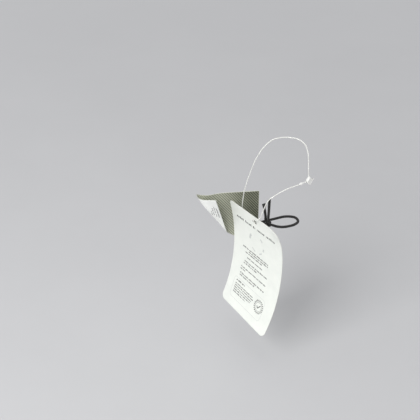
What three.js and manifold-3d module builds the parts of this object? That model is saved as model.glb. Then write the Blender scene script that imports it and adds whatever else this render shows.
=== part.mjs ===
// Luggage tag set: a printed card on a clear plastic loop fastener, and a curled leaflet
// on a black elastic tie. Both hang on the carry handle of a suitcase, which is not modelled.
//
// Millimetres, +Z up. The origin is on the axis of the carry handle, level with the tie.
// +X points to the right of the handle and +Y into the suitcase.

import * as THREE from 'three';
import { mergeVertices } from 'three/addons/utils/BufferGeometryUtils.js';
import Module from 'manifold-3d';

const wasm = await Module();
wasm.setup();

const degrees = THREE.MathUtils.degToRad;
const vec = (x, y, z) => new THREE.Vector3(x, y, z);
const UP = vec(0, 0, 1);

// ---------------------------------------------------------------- driving dimensions

// Printed card: a rounded rectangle that hangs from the loop by a punched hole, bowed
// backwards at mid height and slightly twisted.
const CARD_WIDTH = 68;
const CARD_HEIGHT = 105;
const CARD_THICKNESS = 0.45;
const CARD_CORNER_RADIUS = 5;
const CARD_HOLE_DIAMETER = 4;
const CARD_HOLE_TO_TOP = 6.6;
const CARD_HOLE = vec(-21, -5.3, 3.2);
const CARD_YAW_TOP = degrees(51.2);
const CARD_TWIST = degrees(6.7);
const CARD_ROLL = degrees(-2.7);
const CARD_BOW = 9.6;
const CARD_LEAN = 0.137;

// Leaflet: two thin leaves, flat in an upright plane, with the left corner rolled forwards
// on a cone. Flat positions are measured from the cone's apex, x along the top edge.
const LEAF_THICKNESS = 0.25;
const LEAF_GAP = 0.25;
const LEAF_APEX = vec(-31.45, 29.5, -48.6);
const LEAF_YAW = degrees(6);
const LEAF_RIGHT = 15;
const LEAF_TOP = 61.8;
const LEAF_TOP_LEFT_X = -44.6;
const LEAF_ROLLED_CORNER = new THREE.Vector2(-56.8, 44.7);
const LEAF_LOWER_RIGHT_Y = 1.5;
const LEAF_HOLE = new THREE.Vector2(9, 26);
const LEAF_HOLE_DIAMETER = 4.5;
const LEAF_WAVE_FORWARD = 3;
const LEAF_WAVE_FROM_TIP = 11.6;
const LEAF_TIP_BACKWARD = 3.5;
const ROLL_START = degrees(118.6);
const ROLL_HALF_ANGLE = degrees(5);
const ROLL_TURN = degrees(153);

// Loop fastener: clear nylon filament with a plug on one end and a lock on the other.
const FILAMENT_DIAMETER = 0.9;
const LOCK_CENTRE = vec(23.9, -4.2, 45.2);
const LOCK_AXIS = vec(0.84, 0.53, 0.04).normalize();
const LOCK_HALF_LENGTH = 3.1;
const LOCK_HALF_HEIGHT = 3.6;
const LOCK_THICKNESS = 2.8;
const LOCK_BLUNT = 0.8;
const LOCK_BEVEL = 0.4;
const LOCK_BORE_DIAMETER = 2.0;
const PLUG_STEM_DIAMETER = 1.2;
const PLUG_COLLAR_DIAMETER = 2.2;
const PLUG_COLLAR_START = -9.6;
const PLUG_COLLAR_LENGTH = 3.6;
const PLUG_BARB_DIAMETER = 2.2;
const PLUG_BARB_START = 3.5;
const PLUG_TIP_DIAMETER = 0.6;
const PLUG_TIP_END = 5.2;

// Elastic tie: a loop round the handle and through the leaflet, closed by a knot.
const TIE_DIAMETER = 2.4;
const KNOT_CENTRE = vec(-9.9, -9.6, 4.8);
const KNOT_SIZE = vec(5.25, 4.25, 5);
const BEAD_DIAMETER = 3.4;
const BEAD_CLEARANCE = 0.3;

// How finely curved shapes are divided.
const TUBE_SIDES = 8;
const PUNCH_SIDES = 20;
const PUNCH_LENGTH = 6;
const PLUG_SIDES = 12;
const BALL_SIDES = 12;
const BALL_BANDS = 8;
const FILAMENT_STEP = 2.7;
const TIE_STEP = 3.3;

// Filament route from the lock's top, round the handle, through the card's hole from the
// back, over the card's top edge and up to the plug.
const FILAMENT_ROUTE = [
  vec(23.2, -4.2, 49.6),
  vec(22.8, -3.6, 56),
  vec(22.6, -2, 62),
  vec(21.9, 0.5, 69.7),
  vec(19.8, 4, 75.2),
  vec(15, 8.5, 77.9),
  vec(8, 11.5, 78.4),
  vec(0, 12.5, 77.9),
  vec(-8, 12, 75.6),
  vec(-15, 10.5, 69.4),
  vec(-20.7, 9.5, 60),
  vec(-25.4, 9, 46.9),
  vec(-29.9, 10.6, 29.2),
  vec(-31.3, 13.6, 18),
  vec(-32, 16.6, 5.7),
  vec(-30.9, 15.8, -4.2),
  vec(-27, 9, -9.4),
  vec(-21.8, 0.8, -7),
  vec(-19.5, -2.2, -2.6),
  vec(-20.9, -5.2, 3),
  vec(-23.7, -9, 6.8),
  vec(-22.9, -12.4, 10.4),
  vec(-18.4, -13.6, 12),
  vec(-15.7, -13.8, 19.1),
  vec(-13.2, -13.6, 26.1),
  vec(-10.6, -13.4, 31.4),
  vec(-8.1, -13.2, 33.6),
  vec(-1.6, -12.6, 38.2),
  vec(6.4, -11.8, 42.4),
  vec(11.5, -11, 44),
  vec(15, -9.8, 44.75),
];

// Tie route from the right of the knot, round the handle, through the leaflet's hole,
// round the leaflet's right edge and back along the left of the handle.
const TIE_ROUTE = [
  vec(-7, -10.3, 3.9),
  vec(-2.5, -10.8, 2.6),
  vec(2.5, -10.7, 2),
  vec(8, -9.2, 1.8),
  vec(13.4, -5.4, 1.1),
  vec(16.8, 0.6, 0.4),
  vec(14.6, 7.6, -0.2),
  vec(6.5, 11, -1.4),
  vec(-4, 11.2, -4.2),
  vec(-11.5, 13.6, -8),
  vec(-17.4, 19.6, -14.2),
  vec(-21.4, 26.2, -20.2),
  vec(-23, 31.8, -23.4),
  vec(-22.8, 37.4, -25.6),
  vec(-18.6, 40.6, -26.4),
  vec(-13.2, 38, -25.2),
  vec(-10.9, 31.4, -22.6),
  vec(-12, 23.6, -19),
  vec(-15.2, 15.6, -14.2),
  vec(-20.4, 8.2, -6.6),
  vec(-21.2, 1.6, 0.2),
  vec(-17.4, -5, 2.6),
  vec(-13.2, -8.9, 4.3),
];

const LONG_TAIL_ROUTE = [
  vec(-10.3, -10, 7.6),
  vec(-10.2, -10.9, 13),
  vec(-10, -11, 20),
  vec(-9.8, -11, 30.3),
];

const SHORT_TAIL_ROUTE = [
  vec(-12.2, -8, 7.2),
  vec(-12.6, -8.7, 12),
  vec(-13.3, -9.3, 17),
  vec(-14.1, -9.8, 21.8),
];

// ---------------------------------------------------------------- materials

function material(name, color, roughness) {
  const result = new THREE.MeshStandardMaterial({ color, roughness, metalness: 0 });
  result.name = name;
  return result;
}

const clearNylon = material('clear_nylon', 0xe9ebe6, 0.3);
clearNylon.transparent = true;
clearNylon.opacity = 0.6;
const blackElastic = material('black_elastic', 0x1c1a19, 0.85);
const whiteCard = material('white_card', 0xecefea, 0.55);
const oliveLeaf = material('olive_leaf', 0x6f745c, 0.8);
const whiteLeaf = material('white_leaf', 0xe9eae6, 0.7);

// ---------------------------------------------------------------- shared shapes

// A round tube along a smooth curve through the given points.
function tube(points, diameter, step) {
  const path = new THREE.CatmullRomCurve3(points);
  const section = new THREE.Shape();
  for (let side = 0; side < TUBE_SIDES; side += 1) {
    const angle = (2 * Math.PI * side) / TUBE_SIDES;
    const x = (diameter / 2) * Math.cos(angle);
    const y = (diameter / 2) * Math.sin(angle);
    if (side === 0) section.moveTo(x, y);
    else section.lineTo(x, y);
  }
  section.closePath();
  const steps = Math.round(path.getLength() / step);
  return new THREE.ExtrudeGeometry(section, { steps, extrudePath: path, bevelEnabled: false });
}

// A closed thin sheet. pointAt(column, row) and normalAt(column, row) describe its middle
// surface; offset moves the whole sheet along the normal.
function sheet(pointAt, normalAt, columns, rows, thickness, offset) {
  const positions = [];
  const indices = [];
  for (const side of [1, -1]) {
    for (let row = 0; row <= rows; row += 1) {
      for (let column = 0; column <= columns; column += 1) {
        const normal = normalAt(column, row);
        const point = pointAt(column, row).addScaledVector(normal, offset + (side * thickness) / 2);
        positions.push(point.x, point.y, point.z);
      }
    }
  }
  const stride = columns + 1;
  const back = stride * (rows + 1);
  const quad = (a, b, c, d) => indices.push(a, b, c, a, c, d);
  for (let row = 0; row < rows; row += 1) {
    for (let column = 0; column < columns; column += 1) {
      const a = row * stride + column;
      quad(a, a + 1, a + 1 + stride, a + stride);
      quad(back + a, back + a + stride, back + a + 1 + stride, back + a + 1);
    }
  }
  for (let column = 0; column < columns; column += 1) {
    const last = rows * stride + column;
    quad(column, back + column, back + column + 1, column + 1);
    quad(last, last + 1, back + last + 1, back + last);
  }
  for (let row = 0; row < rows; row += 1) {
    const first = row * stride;
    const last = first + columns;
    quad(first, first + stride, back + first + stride, back + first);
    quad(last, back + last, back + last + stride, last + stride);
  }
  const geometry = new THREE.BufferGeometry();
  geometry.setAttribute('position', new THREE.Float32BufferAttribute(positions, 3));
  geometry.setIndex(indices);
  return geometry;
}

// Any closed geometry as a manifold-3d solid. Corners closer than the tolerance are joined.
function solid(geometry) {
  const tolerance = 1e-4;
  const bare = geometry.clone();
  bare.deleteAttribute('normal');
  bare.deleteAttribute('uv');
  const merged = mergeVertices(bare, tolerance);
  return new wasm.Manifold(new wasm.Mesh({
    numProp: 3,
    vertProperties: new Float32Array(merged.attributes.position.array),
    triVerts: new Uint32Array(merged.index.array),
  }));
}

// The first geometry with the second one cut out of it.
function cut(body, tool) {
  const mesh = solid(body).subtract(solid(tool)).getMesh();
  const geometry = new THREE.BufferGeometry();
  geometry.setAttribute('position', new THREE.Float32BufferAttribute(mesh.vertProperties, 3));
  geometry.setIndex(new THREE.Uint32BufferAttribute(mesh.triVerts, 1));
  return geometry;
}

// A round punch of the given diameter, centred on a point and pointing along an axis.
function punch(diameter, length, centre, axis) {
  const geometry = new THREE.CylinderGeometry(diameter / 2, diameter / 2, length, PUNCH_SIDES);
  geometry.applyQuaternion(new THREE.Quaternion().setFromUnitVectors(vec(0, 1, 0), axis));
  geometry.translate(centre.x, centre.y, centre.z);
  return geometry;
}

// Unit normal of a surface given by two directions of travel at a point.
function surfaceNormal(surface, u, v) {
  const small = 0.01;
  const alongU = surface(u + small, v).sub(surface(u - small, v));
  const alongV = surface(u, v + small).sub(surface(u, v - small));
  return alongU.cross(alongV).normalize();
}

// ---------------------------------------------------------------- printed card

// Point on the card at a distance across (to its right) and down from its hole.
function cardPoint(across, down) {
  const along = (down + CARD_HOLE_TO_TOP) / CARD_HEIGHT;
  const holeAlong = CARD_HOLE_TO_TOP / CARD_HEIGHT;
  const yaw = CARD_YAW_TOP + CARD_TWIST * along;
  const rightward = vec(Math.cos(yaw), -Math.sin(yaw), 0);
  const forward = vec(-Math.sin(yaw), -Math.cos(yaw), 0);
  const bowAt = (part) => -4 * CARD_BOW * part * (1 - part);
  const depth = bowAt(along) - bowAt(holeAlong) + CARD_LEAN * down;
  // The card keeps its length: the drop is the arc length less what the bow takes up.
  const curvature = (8 * CARD_BOW) / CARD_HEIGHT ** 2;
  const slopeAt = (distance) => CARD_LEAN - (4 * CARD_BOW) / CARD_HEIGHT
    + curvature * (distance + CARD_HOLE_TO_TOP);
  const arc = (slope) => (slope * Math.sqrt(1 - slope ** 2) + Math.asin(slope)) / (2 * curvature);
  const drop = arc(slopeAt(down)) - arc(slopeAt(0));
  const sideways = across * Math.cos(CARD_ROLL) - down * Math.sin(CARD_ROLL);
  return CARD_HOLE.clone()
    .addScaledVector(rightward, sideways)
    .addScaledVector(forward, depth)
    .addScaledVector(UP, across * Math.sin(CARD_ROLL) - drop);
}

// Rows down the card: each has its distance below the hole and its half width, which
// shrinks in the rounded corners.
function cardRows() {
  const cornerSteps = 4;
  const straightSteps = 18;
  const top = -CARD_HOLE_TO_TOP;
  const bottom = top + CARD_HEIGHT;
  const corner = [];
  for (let step = 0; step <= cornerSteps; step += 1) {
    const angle = (Math.PI / 2) * (step / cornerSteps);
    corner.push({
      inset: CARD_CORNER_RADIUS * (1 - Math.cos(angle)),
      half: CARD_WIDTH / 2 - CARD_CORNER_RADIUS * (1 - Math.sin(angle)),
    });
  }
  const rows = corner.map(({ inset, half }) => ({ down: top + inset, half }));
  const straight = CARD_HEIGHT - 2 * CARD_CORNER_RADIUS;
  for (let step = 1; step < straightSteps; step += 1) {
    const down = top + CARD_CORNER_RADIUS + (straight * step) / straightSteps;
    rows.push({ down, half: CARD_WIDTH / 2 });
  }
  for (const { inset, half } of corner.reverse()) rows.push({ down: bottom - inset, half });
  return rows;
}

function cardGeometry() {
  const columns = 8;
  const rows = cardRows();
  const acrossAt = (column, row) => rows[row].half * ((2 * column) / columns - 1);
  const card = sheet(
    (column, row) => cardPoint(acrossAt(column, row), rows[row].down),
    (column, row) => surfaceNormal(cardPoint, acrossAt(column, row), rows[row].down),
    columns,
    rows.length - 1,
    CARD_THICKNESS,
    0,
  );
  const axis = surfaceNormal(cardPoint, 0, 0);
  return cut(card, punch(CARD_HOLE_DIAMETER, PUNCH_LENGTH, CARD_HOLE, axis));
}

// ---------------------------------------------------------------- curled leaflet

const leafRight = vec(Math.cos(LEAF_YAW), Math.sin(LEAF_YAW), 0);
const leafForward = leafRight.clone().cross(UP);

// Direction from the cone's apex at a flat angle: straight across the flat panel, then
// round the cone, then straight on across the rolled flap.
function leafDirection(angle) {
  const start = leafRight.clone().multiplyScalar(Math.cos(Math.min(angle, ROLL_START)))
    .addScaledVector(UP, Math.sin(Math.min(angle, ROLL_START)));
  if (angle <= ROLL_START) return start;
  const axis = start.clone().multiplyScalar(Math.cos(ROLL_HALF_ANGLE))
    .addScaledVector(leafForward, Math.sin(ROLL_HALF_ANGLE));
  const rollLength = ROLL_TURN * Math.sin(ROLL_HALF_ANGLE);
  const rolled = Math.min(angle - ROLL_START, rollLength);
  const direction = start.clone().applyAxisAngle(axis, rolled / Math.sin(ROLL_HALF_ANGLE));
  const beyond = angle - ROLL_START - rolled;
  const tangent = axis.clone().cross(direction).normalize();
  return direction.multiplyScalar(Math.cos(beyond)).addScaledVector(tangent, Math.sin(beyond));
}

// How far the paper stands forward of the plain cone: a shallow wave in the top edge,
// and the top left tip bent back.
function leafWave(flatX, flatY) {
  const waveWidth = 9;
  const waveHeight = 14;
  const tipWidth = 7;
  const belowTop = LEAF_TOP - flatY;
  const fromWave = flatX - LEAF_TOP_LEFT_X - LEAF_WAVE_FROM_TIP;
  const fromTip = Math.hypot(flatX - LEAF_TOP_LEFT_X, belowTop);
  const wave = LEAF_WAVE_FORWARD * Math.exp(-((fromWave / waveWidth) ** 2 + (belowTop / waveHeight) ** 2));
  return wave - LEAF_TIP_BACKWARD * Math.exp(-((fromTip / tipWidth) ** 2));
}

// Point of the leaflet's middle surface at a flat angle and distance from the apex.
function leafPoint(angle, distance) {
  const wave = leafWave(distance * Math.cos(angle), distance * Math.sin(angle));
  return LEAF_APEX.clone()
    .addScaledVector(leafDirection(angle), distance)
    .addScaledVector(leafForward, wave);
}

// Distance from the apex, along a flat angle, to the straight line through two points.
function distanceToLine(angle, from, to) {
  const edge = to.clone().sub(from);
  return from.cross(edge) / (Math.cos(angle) * edge.y - Math.sin(angle) * edge.x);
}

function leafGeometry(offset) {
  const topRight = new THREE.Vector2(LEAF_RIGHT, LEAF_TOP);
  const topLeft = new THREE.Vector2(LEAF_TOP_LEFT_X, LEAF_TOP);
  const lowerRight = new THREE.Vector2(LEAF_RIGHT, LEAF_LOWER_RIGHT_Y);
  const cornerTrim = degrees(1.2);
  // Each stretch of flat angles has one far edge; its last angle starts the next stretch.
  const stretches = [
    { to: topRight.angle(), steps: 6, far: [lowerRight, topRight] },
    { to: ROLL_START, steps: 4, far: [topRight, topLeft] },
    { to: topLeft.angle(), steps: 6, far: [topRight, topLeft] },
    { to: LEAF_ROLLED_CORNER.angle() - cornerTrim, steps: 10, far: [topLeft, LEAF_ROLLED_CORNER] },
  ];
  const fan = [];
  let from = lowerRight.angle() + cornerTrim;
  for (const { to, steps, far } of stretches) {
    for (let step = fan.length ? 1 : 0; step <= steps; step += 1) {
      const angle = from + ((to - from) * step) / steps;
      fan.push({
        angle,
        near: distanceToLine(angle, lowerRight, LEAF_ROLLED_CORNER),
        far: distanceToLine(angle, ...far),
      });
    }
    from = to;
  }
  const rows = 6;
  const distanceAt = (column, row) => {
    const { near, far } = fan[column];
    return far + ((near - far) * row) / rows;
  };
  const leaf = sheet(
    (column, row) => leafPoint(fan[column].angle, distanceAt(column, row)),
    (column) => leafNormal(fan[column].angle),
    fan.length - 1,
    rows,
    LEAF_THICKNESS,
    offset,
  );
  const hole = LEAF_APEX.clone().addScaledVector(leafRight, LEAF_HOLE.x).addScaledVector(UP, LEAF_HOLE.y);
  return cut(leaf, punch(LEAF_HOLE_DIAMETER, PUNCH_LENGTH, hole, leafForward));
}

// The cover side's unit normal, the same all along one direction from the apex.
function leafNormal(angle) {
  const small = 1e-4;
  const before = leafDirection(angle - small);
  const after = leafDirection(angle + small);
  return before.cross(after).normalize();
}

// ---------------------------------------------------------------- loop fastener

// The lock's own frame: x along the plug, y upwards across it, z towards the front.
const lockFront = LOCK_AXIS.clone().cross(UP).normalize();
const lockFrame = new THREE.Matrix4()
  .makeBasis(LOCK_AXIS, lockFront.clone().cross(LOCK_AXIS), lockFront)
  .setPosition(LOCK_CENTRE);

// Diamond-shaped block with blunt points and bevelled faces, bored through for the plug.
function lockHousingGeometry() {
  const blunt = LOCK_BLUNT / 2;
  const diamond = new THREE.Shape();
  diamond.moveTo(LOCK_HALF_LENGTH, -blunt);
  diamond.lineTo(LOCK_HALF_LENGTH, blunt);
  diamond.lineTo(blunt, LOCK_HALF_HEIGHT);
  diamond.lineTo(-blunt, LOCK_HALF_HEIGHT);
  diamond.lineTo(-LOCK_HALF_LENGTH, blunt);
  diamond.lineTo(-LOCK_HALF_LENGTH, -blunt);
  diamond.lineTo(-blunt, -LOCK_HALF_HEIGHT);
  diamond.lineTo(blunt, -LOCK_HALF_HEIGHT);
  diamond.closePath();
  const body = new THREE.ExtrudeGeometry(diamond, {
    depth: LOCK_THICKNESS - 2 * LOCK_BEVEL,
    bevelSize: LOCK_BEVEL,
    bevelOffset: -LOCK_BEVEL,
    bevelThickness: LOCK_BEVEL,
    bevelSegments: 1,
  });
  body.translate(0, 0, LOCK_BEVEL - LOCK_THICKNESS / 2);
  const bore = punch(LOCK_BORE_DIAMETER, 4 * LOCK_HALF_LENGTH, vec(0, 0, 0), vec(1, 0, 0));
  return cut(body, bore).applyMatrix4(lockFrame);
}

// Collar, stem and barbed tip, turned about the plug's axis.
function lockPlugGeometry() {
  const stem = PLUG_STEM_DIAMETER / 2;
  const collar = PLUG_COLLAR_DIAMETER / 2;
  const outline = [
    [0, PLUG_COLLAR_START],
    [stem, PLUG_COLLAR_START],
    [collar, PLUG_COLLAR_START + PLUG_COLLAR_LENGTH * 0.28],
    [collar, PLUG_COLLAR_START + PLUG_COLLAR_LENGTH / 2],
    [stem, PLUG_COLLAR_START + PLUG_COLLAR_LENGTH],
    [stem, PLUG_BARB_START],
    [PLUG_BARB_DIAMETER / 2, PLUG_BARB_START],
    [PLUG_TIP_DIAMETER / 2, PLUG_TIP_END],
    [0, PLUG_TIP_END],
  ];
  const points = outline.map(([x, y]) => new THREE.Vector2(x, y));
  const plug = new THREE.LatheGeometry(points, PLUG_SIDES);
  plug.rotateZ(-Math.PI / 2);
  return plug.applyMatrix4(lockFrame);
}

// ---------------------------------------------------------------- elastic tie

// A ball stretched to a width, depth and height, centred on a point.
function ball(size, centre) {
  const geometry = new THREE.SphereGeometry(1 / 2, BALL_SIDES, BALL_BANDS);
  geometry.scale(size.x, size.y, size.z);
  return geometry.translate(centre.x, centre.y, centre.z);
}

// The lump on the short tail's end, just clear of it.
function beadGeometry() {
  const end = SHORT_TAIL_ROUTE[SHORT_TAIL_ROUTE.length - 1];
  const centre = end.clone().addScaledVector(UP, BEAD_DIAMETER / 2 + BEAD_CLEARANCE);
  return ball(vec(BEAD_DIAMETER, BEAD_DIAMETER, BEAD_DIAMETER), centre);
}

// ---------------------------------------------------------------- assembly

const group = new THREE.Group();

function add(name, geometry, finish) {
  const mesh = new THREE.Mesh(geometry, finish);
  mesh.name = name;
  group.add(mesh);
}

const leafOffset = (LEAF_THICKNESS + LEAF_GAP) / 2;

add('loop_filament', tube(FILAMENT_ROUTE, FILAMENT_DIAMETER, FILAMENT_STEP), clearNylon);
add('lock_housing', lockHousingGeometry(), clearNylon);
add('lock_plug', lockPlugGeometry(), clearNylon);
add('tie_cord', tube(TIE_ROUTE, TIE_DIAMETER, TIE_STEP), blackElastic);
add('tie_knot', ball(KNOT_SIZE, KNOT_CENTRE), blackElastic);
add('tie_tail_long', tube(LONG_TAIL_ROUTE, TIE_DIAMETER, TIE_STEP), blackElastic);
add('tie_tail_short', tube(SHORT_TAIL_ROUTE, TIE_DIAMETER, TIE_STEP), blackElastic);
add('tie_end_bead', beadGeometry(), blackElastic);
add('tag_card', cardGeometry(), whiteCard);
add('leaflet_cover', leafGeometry(leafOffset), oliveLeaf);
add('leaflet_backing', leafGeometry(-leafOffset), whiteLeaf);

export default group;
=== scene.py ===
"""Luggage tag set: a printed card on a clear plastic loop, and a curled leaflet on a black elastic tie.

Metres, +Z up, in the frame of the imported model. Flat positions on the card and on the leaflet are
(x, y) on the uncurved paper, x to the right and y up; the mappings below bend them into place.
"""
import math
import random

import bmesh
import bpy
from mathutils import Matrix, Quaternion, Vector
from mathutils.geometry import delaunay_2d_cdt


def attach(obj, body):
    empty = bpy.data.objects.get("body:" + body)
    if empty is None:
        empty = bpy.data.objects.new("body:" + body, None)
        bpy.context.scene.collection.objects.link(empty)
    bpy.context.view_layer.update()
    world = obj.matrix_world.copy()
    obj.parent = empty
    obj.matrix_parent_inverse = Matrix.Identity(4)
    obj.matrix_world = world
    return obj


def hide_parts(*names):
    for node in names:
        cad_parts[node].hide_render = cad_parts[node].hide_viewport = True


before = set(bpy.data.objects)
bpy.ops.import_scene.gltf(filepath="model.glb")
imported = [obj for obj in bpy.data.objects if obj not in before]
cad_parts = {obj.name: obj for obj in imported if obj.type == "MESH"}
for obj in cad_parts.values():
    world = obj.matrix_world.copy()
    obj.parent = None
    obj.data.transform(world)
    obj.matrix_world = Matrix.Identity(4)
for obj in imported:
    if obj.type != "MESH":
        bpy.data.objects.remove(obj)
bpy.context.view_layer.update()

UP = Vector((0, 0, 1))
CENTIMETRE = 0.01
MILLIMETRE = 0.001
OUTLINE_STEP = 0.0012
NOISE_SPAN = (0.3, 0.7)

# ---- driving sizes

CARD_WIDTH = 0.068
CARD_HEIGHT = 0.105
CARD_THICKNESS = 0.00045
CARD_CORNER_RADIUS = 0.005
CARD_HOLE_RADIUS = 0.002
CARD_HOLE_TO_TOP = 0.0066
CARD_HOLE = Vector((-0.021, -0.0053, 0.0032))
CARD_YAW_TOP = math.radians(51.2)
CARD_TWIST = math.radians(6.7)
CARD_ROLL = math.radians(-2.7)
CARD_BOW = 0.0096
CARD_LEAN = 0.137
CARD_CORNER_CURL = 0.0026
CARD_CURL_REACH = 0.0095

LEAF_THICKNESS = 0.00025
LEAF_GAP = 0.00025
LEAF_APEX = Vector((-0.03145, 0.0295, -0.0486))
LEAF_YAW = math.radians(6)
LEAF_LOWER_RIGHT = Vector((0.015, 0.0015))
LEAF_TOP_RIGHT = Vector((0.015, 0.0618))
LEAF_TOP_LEFT = Vector((-0.0446, 0.0618))
LEAF_ROLLED_CORNER = Vector((-0.0568, 0.0447))
LEAF_HOLE = Vector((0.009, 0.026))
LEAF_HOLE_RADIUS = 0.00225
ROLL_START = math.radians(118.6)
ROLL_HALF_ANGLE = math.radians(5)
ROLL_TURN = math.radians(153)

FILAMENT_DIAMETER = 0.0009
LOCK_CENTRE = Vector((0.0239, -0.0042, 0.0452))
LOCK_AXIS = Vector((0.84, 0.53, 0.04)).normalized()

TIE_DIAMETER = 0.0024
KNOT_CENTRE = Vector((-0.0099, -0.0096, 0.0048))
BEAD_CENTRE = Vector((-0.0141, -0.0098, 0.0238))

FLOOR_HEIGHT = -0.125
STUDIO_COLOUR = (0.97, 0.975, 1.0)
STUDIO_STRENGTH = 0.6

# Filament: from the lock's top, round the handle, through the card's hole from the back,
# over the card's top edge and up to the plug.
FILAMENT_ROUTE = [
    (0.0232, -0.0042, 0.0496),
    (0.0228, -0.0036, 0.056),
    (0.0226, -0.002, 0.062),
    (0.0219, 0.0005, 0.0697),
    (0.0198, 0.004, 0.0752),
    (0.015, 0.0085, 0.0779),
    (0.008, 0.0115, 0.0784),
    (0, 0.0125, 0.0779),
    (-0.008, 0.012, 0.0756),
    (-0.015, 0.0105, 0.0694),
    (-0.0207, 0.0095, 0.06),
    (-0.0254, 0.009, 0.0469),
    (-0.0299, 0.0106, 0.0292),
    (-0.0313, 0.0136, 0.018),
    (-0.032, 0.0166, 0.0057),
    (-0.0309, 0.0158, -0.0042),
    (-0.027, 0.009, -0.0094),
    (-0.0218, 0.0008, -0.007),
    (-0.0195, -0.0022, -0.0026),
    (-0.0209, -0.0052, 0.003),
    (-0.0237, -0.009, 0.0068),
    (-0.0229, -0.0124, 0.0104),
    (-0.0184, -0.0136, 0.012),
    (-0.0157, -0.0138, 0.0191),
    (-0.0132, -0.0136, 0.0261),
    (-0.0106, -0.0134, 0.0314),
    (-0.0081, -0.0132, 0.0336),
    (-0.0016, -0.0126, 0.0382),
    (0.0064, -0.0118, 0.0424),
    (0.0115, -0.011, 0.044),
    (0.015, -0.0098, 0.04475),
]

# Tie: from the right of the knot, round the handle, through the leaflet's hole, round the
# leaflet's right edge and back along the left of the handle.
TIE_ROUTE = [
    (-0.007, -0.0103, 0.0039),
    (-0.0025, -0.0108, 0.0026),
    (0.0025, -0.0107, 0.002),
    (0.008, -0.0092, 0.0018),
    (0.0134, -0.0054, 0.0011),
    (0.0168, 0.0006, 0.0004),
    (0.0146, 0.0076, -0.0002),
    (0.0065, 0.011, -0.0014),
    (-0.004, 0.0112, -0.0042),
    (-0.0115, 0.0136, -0.008),
    (-0.0174, 0.0196, -0.0142),
    (-0.0214, 0.0262, -0.0202),
    (-0.023, 0.0318, -0.0234),
    (-0.0228, 0.0374, -0.0256),
    (-0.0186, 0.0406, -0.0264),
    (-0.0132, 0.038, -0.0252),
    (-0.0109, 0.0314, -0.0226),
    (-0.012, 0.0236, -0.019),
    (-0.0152, 0.0156, -0.0142),
    (-0.0204, 0.0082, -0.0066),
    (-0.0212, 0.0016, 0.0002),
    (-0.0174, -0.005, 0.0026),
    (-0.0132, -0.0089, 0.0043),
]

LONG_TAIL_ROUTE = [
    (-0.0103, -0.01, 0.0076),
    (-0.0102, -0.0109, 0.013),
    (-0.01, -0.011, 0.02),
    (-0.0098, -0.011, 0.0303),
]

SHORT_TAIL_ROUTE = [
    (-0.0122, -0.008, 0.0072),
    (-0.0126, -0.0087, 0.012),
    (-0.0133, -0.0093, 0.017),
    (-0.0141, -0.0098, 0.0218),
]


# ---- lines and surfaces

def resampled(points, step):
    """The same line again, with evenly spaced points about step apart."""
    along = [0.0]
    for a, b in zip(points, points[1:]):
        along.append(along[-1] + (b - a).length)
    count = max(2, round(along[-1] / step))
    line, span = [], 0
    for i in range(count + 1):
        target = along[-1] * i / count
        while span < len(points) - 2 and along[span + 1] < target:
            span += 1
        share = (target - along[span]) / (along[span + 1] - along[span])
        line.append(points[span].lerp(points[span + 1], share))
    return line


def smooth_line(route, step):
    """A centripetal Catmull-Rom curve through the route's points, as the CAD model bends it."""
    points = [Vector(p) for p in route]
    points = [2 * points[0] - points[1], *points, 2 * points[-1] - points[-2]]
    pieces_per_span = 40
    fine = []
    for before, start, end, after in zip(points, points[1:], points[2:], points[3:]):
        first, middle, last = (
            math.sqrt((b - a).length) for a, b in ((before, start), (start, end), (end, after))
        )
        leave = (start - before) / first - (end - before) / (first + middle) + (end - start) / middle
        arrive = (end - start) / middle - (after - start) / (middle + last) + (after - end) / last
        leave *= middle
        arrive *= middle
        for i in range(pieces_per_span):
            t = i / pieces_per_span
            bend = -3 * start + 3 * end - 2 * leave - arrive
            twist = 2 * start - 2 * end + leave + arrive
            fine.append(start + leave * t + bend * t**2 + twist * t**3)
    fine.append(points[-2])
    return resampled(fine, step)


def card_point(x, y):
    """Where a flat point of the card is. The punched hole's centre is (0, 0).

    The card is bowed along its height, twisted a little, and its top right corner curls forwards.
    """
    down = -y
    along = (down + CARD_HOLE_TO_TOP) / CARD_HEIGHT
    hole_along = CARD_HOLE_TO_TOP / CARD_HEIGHT
    yaw = CARD_YAW_TOP + CARD_TWIST * along
    rightward = Vector((math.cos(yaw), -math.sin(yaw), 0))
    forward = Vector((-math.sin(yaw), -math.cos(yaw), 0))

    def bow(part):
        """How far the bow stands forwards at a share of the height: it is never over 0."""
        return -4 * CARD_BOW * part * (1 - part)

    curvature = 8 * CARD_BOW / CARD_HEIGHT**2

    def arc(distance):
        """The integral of sqrt(1 - slope^2): the paper keeps its length, so a slope drops less."""
        slope = CARD_LEAN - 4 * CARD_BOW / CARD_HEIGHT + curvature * (distance + CARD_HOLE_TO_TOP)
        return (slope * math.sqrt(1 - slope**2) + math.asin(slope)) / (2 * curvature)

    from_corner = math.hypot(x - CARD_WIDTH / 2, y - CARD_HOLE_TO_TOP)
    curl = CARD_CORNER_CURL * math.exp(-((from_corner / CARD_CURL_REACH) ** 2))
    depth = bow(along) - bow(hole_along) + CARD_LEAN * down + curl
    drop = arc(down) - arc(0)
    sideways = x * math.cos(CARD_ROLL) - down * math.sin(CARD_ROLL)
    rise = x * math.sin(CARD_ROLL) - drop
    return CARD_HOLE + rightward * sideways + forward * depth + UP * rise


leaf_right = Vector((math.cos(LEAF_YAW), math.sin(LEAF_YAW), 0))
leaf_forward = leaf_right.cross(UP)


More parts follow.
